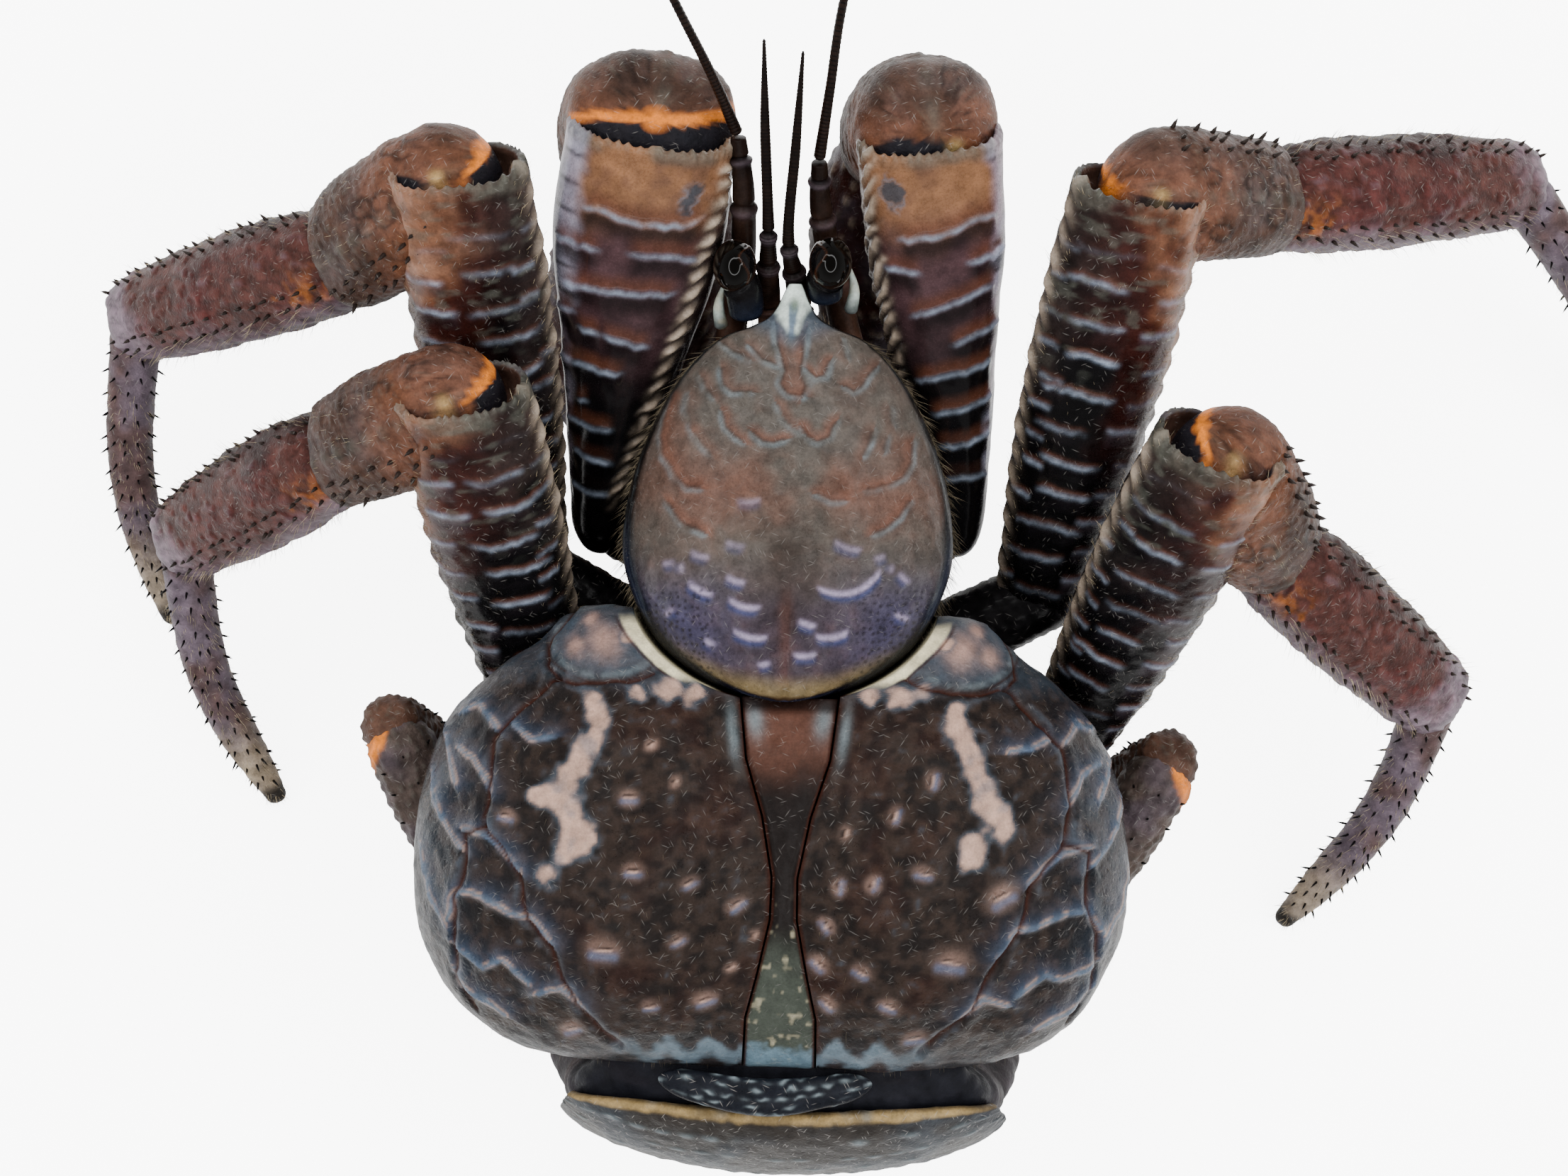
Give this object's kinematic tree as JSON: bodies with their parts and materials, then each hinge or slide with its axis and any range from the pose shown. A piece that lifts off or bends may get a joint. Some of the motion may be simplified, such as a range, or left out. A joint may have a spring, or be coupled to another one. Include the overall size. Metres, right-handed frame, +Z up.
{
  "type": "coconut crab",
  "caption": "Life-size still model of a coconut crab, a large land crab, resting on its belly with legs drawn in and claws tucked under its head.",
  "frame": {"origin": "on the floor under the tail plate, in the middle of the body's width", "axes": "+X to the crab's right, +Y forward along the body, +Z up"},
  "size_m": [0.2473, 0.2114, 0.1048],
  "materials": {
    "body_shell": "dark blue-brown, finely pitted and scaled shell with pale blue-grey ridge edges, satin",
    "leg_shell": "maroon to orange-brown ridged shell with pale lilac ridge edges, glossy",
    "claw_shell": "maroon to orange-brown shell with wavy pale ridges, glossy, tan tubercles along its edges",
    "soft_skin": "dark wrinkled skin with short stiff bristles, matt",
    "joint_skin": "smooth orange and blue-black skin between the limb segments, satin",
    "eye_surface": "polished brown-black eye",
    "feeler_shell": "dark brown-black ringed feelers, satin",
    "bristle": "stiff brown bristles and toe hairs"
  },
  "bodies": {
    "root": {"abdomen": "soft_skin", "antenna_base_left": "feeler_shell", "antenna_base_right": "feeler_shell", "antenna_whip_left": "feeler_shell", "antenna_whip_right": "feeler_shell", "antennule_left": "feeler_shell", "antennule_right": "feeler_shell", "breastplate": "body_shell", "claw_left_base": "claw_shell", "claw_left_carpus": "claw_shell", "claw_left_finger": "claw_shell", "claw_left_merus": "claw_shell", "claw_left_palm": "claw_shell", "claw_right_base": "claw_shell", "claw_right_carpus": "claw_shell", "claw_right_finger": "claw_shell", "claw_right_merus": "claw_shell", "claw_right_palm": "claw_shell", "eye_left": "eye_surface", "eye_right": "eye_surface", "eyestalk_left": "body_shell", "eyestalk_right": "body_shell", "gill_cover_left": "body_shell", "gill_cover_right": "body_shell", "heart_plate": "body_shell", "leg2_left_base": "leg_shell", "leg2_left_carpus": "leg_shell", "leg2_left_dactyl": "leg_shell", "leg2_left_merus": "leg_shell", "leg2_left_propodus": "leg_shell", "leg2_right_base": "leg_shell", "leg2_right_carpus": "leg_shell", "leg2_right_dactyl": "leg_shell", "leg2_right_merus": "leg_shell", "leg2_right_propodus": "leg_shell", "leg3_left_base": "leg_shell", "leg3_left_carpus": "leg_shell", "leg3_left_dactyl": "leg_shell", "leg3_left_merus": "leg_shell", "leg3_left_propodus": "leg_shell", "leg3_right_base": "leg_shell", "leg3_right_carpus": "leg_shell", "leg3_right_dactyl": "leg_shell", "leg3_right_merus": "leg_shell", "leg3_right_propodus": "leg_shell", "leg4_left_carpus": "leg_shell", "leg4_left_hand": "leg_shell", "leg4_left_merus": "leg_shell", "leg4_right_carpus": "leg_shell", "leg4_right_hand": "leg_shell", "leg4_right_merus": "leg_shell", "mouth_frame": "body_shell", "mouth_leg_left": "feeler_shell", "mouth_leg_right": "feeler_shell", "shield": "body_shell", "tail_plate": "body_shell", "tergite_1": "body_shell", "tergite_2": "body_shell", "tergite_3": "body_shell", "tergite_4": "body_shell"}
  },
  "joints": []
}
